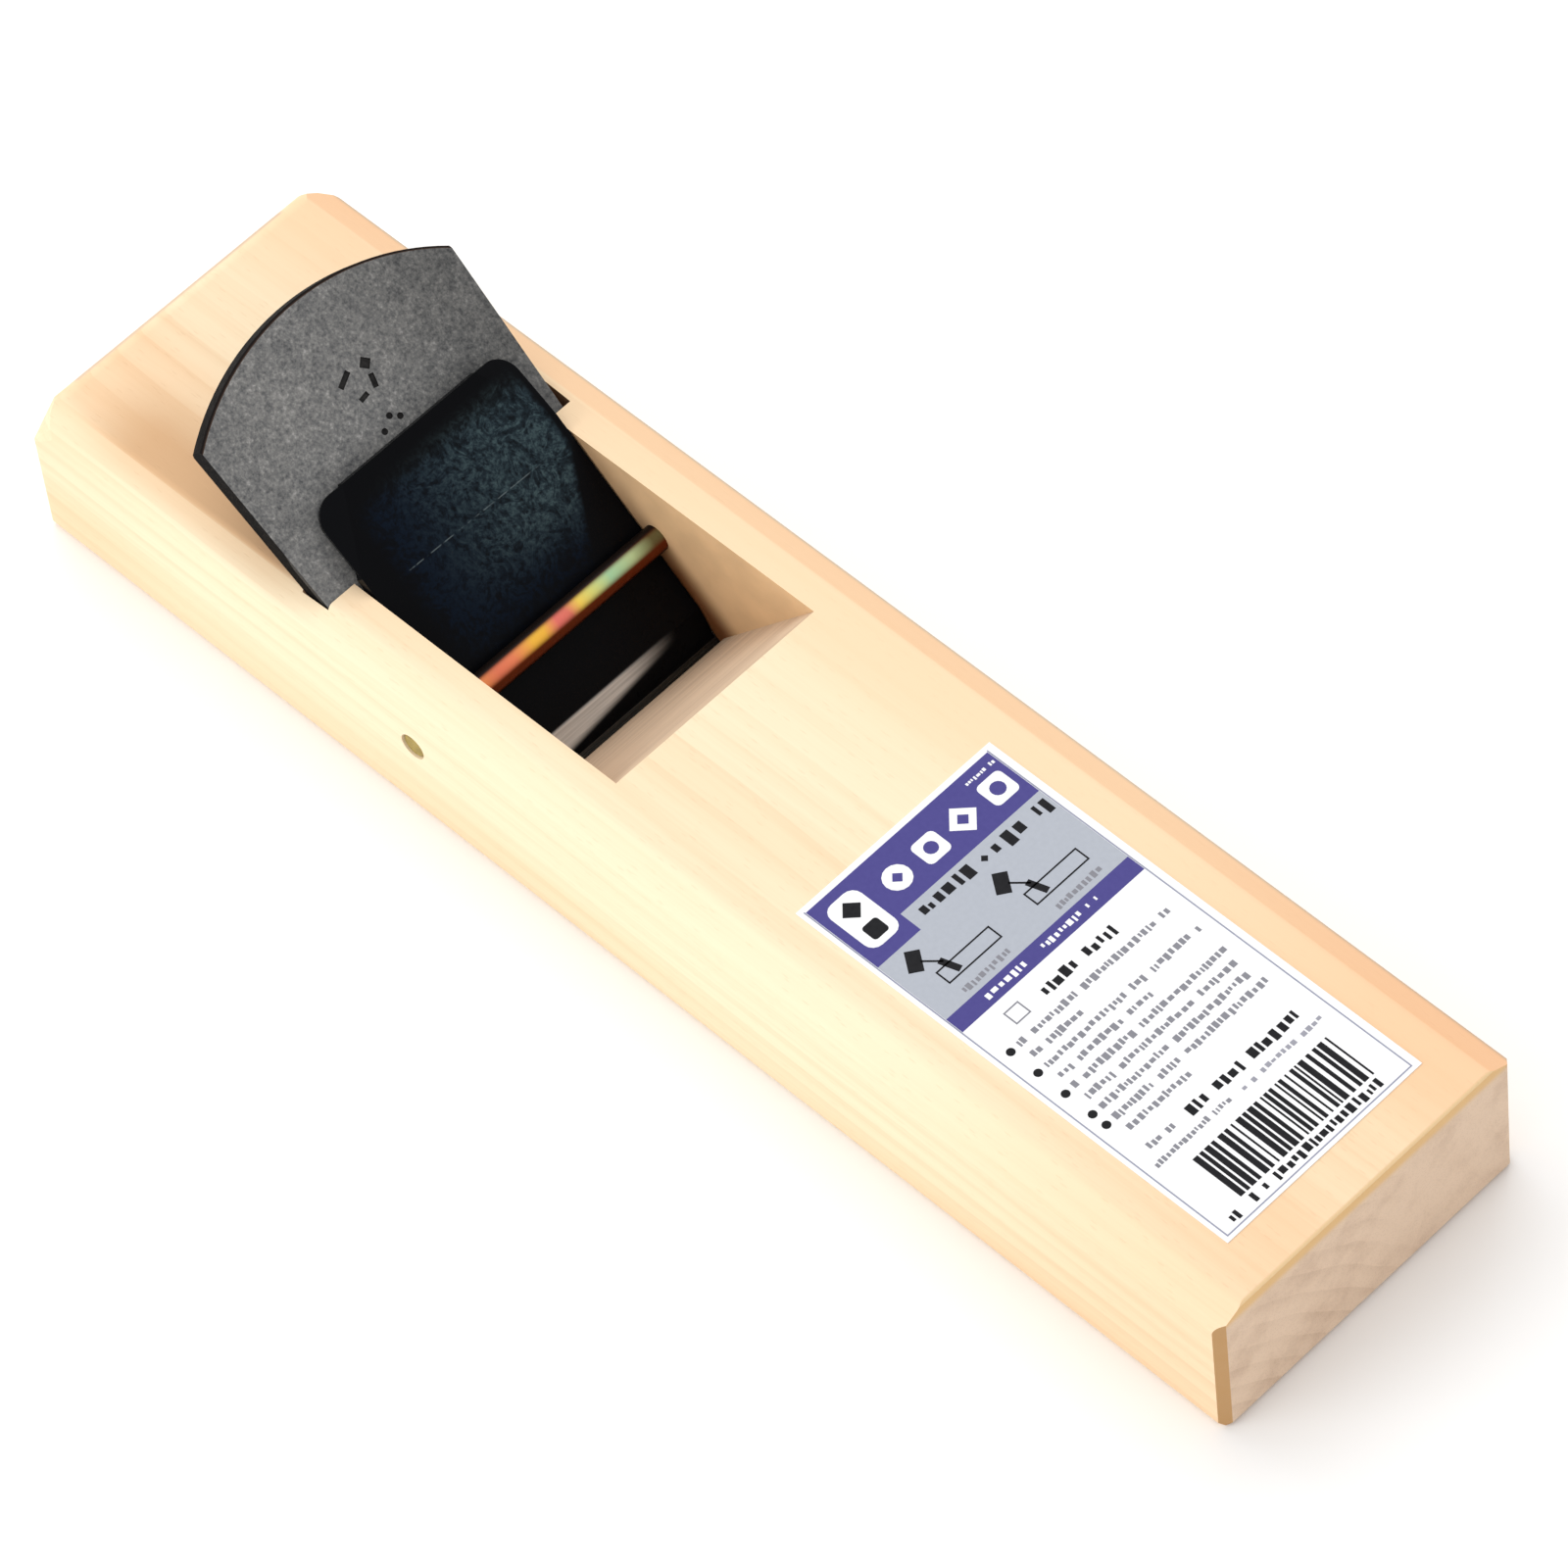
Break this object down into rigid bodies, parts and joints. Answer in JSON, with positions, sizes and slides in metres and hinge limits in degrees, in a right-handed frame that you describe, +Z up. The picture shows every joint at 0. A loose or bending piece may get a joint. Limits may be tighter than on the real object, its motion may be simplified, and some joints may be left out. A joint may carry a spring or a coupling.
{
  "type": "hand plane",
  "caption": "Low wooden pull plane: a laminated cutting iron bedded at a slope, a chip breaker wedged under a cross pin, and a printed label on the stock.",
  "frame": {"origin": "the middle of the sole, half way along the stock and half way across it", "axes": "+X along the stock towards the labelled end, +Y across it, +Z up from the sole; the iron leans back towards -X"},
  "size_m": [0.21, 0.0526, 0.045],
  "materials": {
    "stock_wood": "planed pale close-grained hardwood, unfinished, grain along the stock",
    "forged_iron": "soft iron with a dull grey-black forge scale",
    "edge_steel": "hard steel, lapped bright around a shallow hollow",
    "dark_steel": "gloss blue-black finish over rolled steel, ground bright at the edge",
    "plated_pin": "polished steel with yellow passivated zinc plating",
    "label_paper": "smooth white printed paper with a violet heading band and a grey panel"
  },
  "bodies": {
    "stock": {"stock": "stock_wood", "cross_pin": "plated_pin", "label": "label_paper"},
    "iron": {"iron_body": "forged_iron", "iron_steel": "edge_steel"},
    "chip": {"chip_breaker": "dark_steel"}
  },
  "joints": [
    {"name": "iron_slide", "type": "slide", "parent": "stock", "child": "iron", "axis": [-0.7604, 0, 0.6494], "range_m": [-0.0003, 0.045]},
    {"name": "chip_slide", "type": "slide", "parent": "iron", "child": "chip", "axis": [-0.7604, 0, 0.6494], "range_m": [-0.0005, 0.04]}
  ]
}
